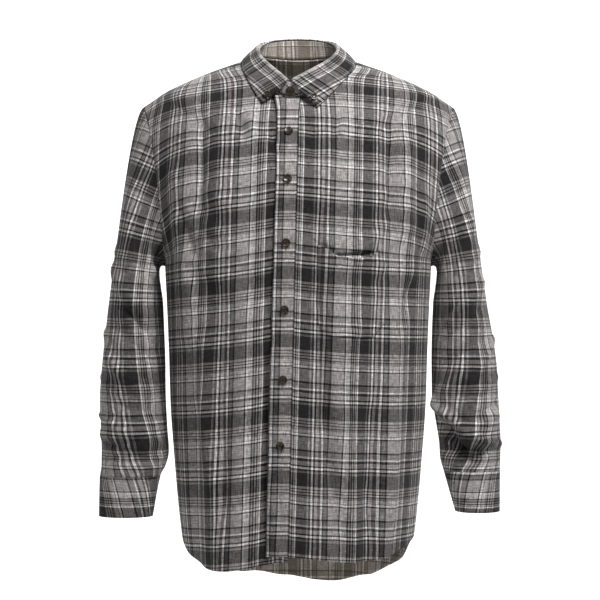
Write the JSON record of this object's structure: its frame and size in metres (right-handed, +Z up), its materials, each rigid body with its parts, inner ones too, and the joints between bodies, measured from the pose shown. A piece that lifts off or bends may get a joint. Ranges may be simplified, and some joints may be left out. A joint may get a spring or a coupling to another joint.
{
  "type": "flannel shirt",
  "caption": "Long-sleeved plaid flannel shirt with a button-down collar, front placket, chest pocket and barrel cuffs, buttoned up in its hollow worn form.",
  "frame": {"origin": "middle of the neck opening, level with the tops of the shoulders, where the wearer's neck and shoulders hold the shirt", "axes": "+Z up, +X towards the wearer's left, the front faces -Y"},
  "size_m": [0.6366, 0.3086, 0.8971],
  "materials": {
    "flannel": "matte",
    "buttons": "satin"
  },
  "bodies": {
    "root": {"front_left": "flannel", "front_right": "flannel", "back": "flannel", "yoke": "flannel", "sleeve_left": "flannel", "sleeve_right": "flannel", "placket": "flannel", "pocket": "flannel", "collar_stand": "flannel", "collar_fall": "flannel", "cuff_left": "flannel", "cuff_right": "flannel", "sleeve_placket_left": "flannel", "sleeve_placket_right": "flannel", "button_front_1": "buttons", "button_front_2": "buttons", "button_front_3": "buttons", "button_front_4": "buttons", "button_front_5": "buttons", "button_front_6": "buttons", "button_front_7": "buttons", "button_collar_left": "buttons", "button_collar_right": "buttons", "button_cuff_left": "buttons", "button_cuff_right": "buttons"}
  },
  "joints": []
}
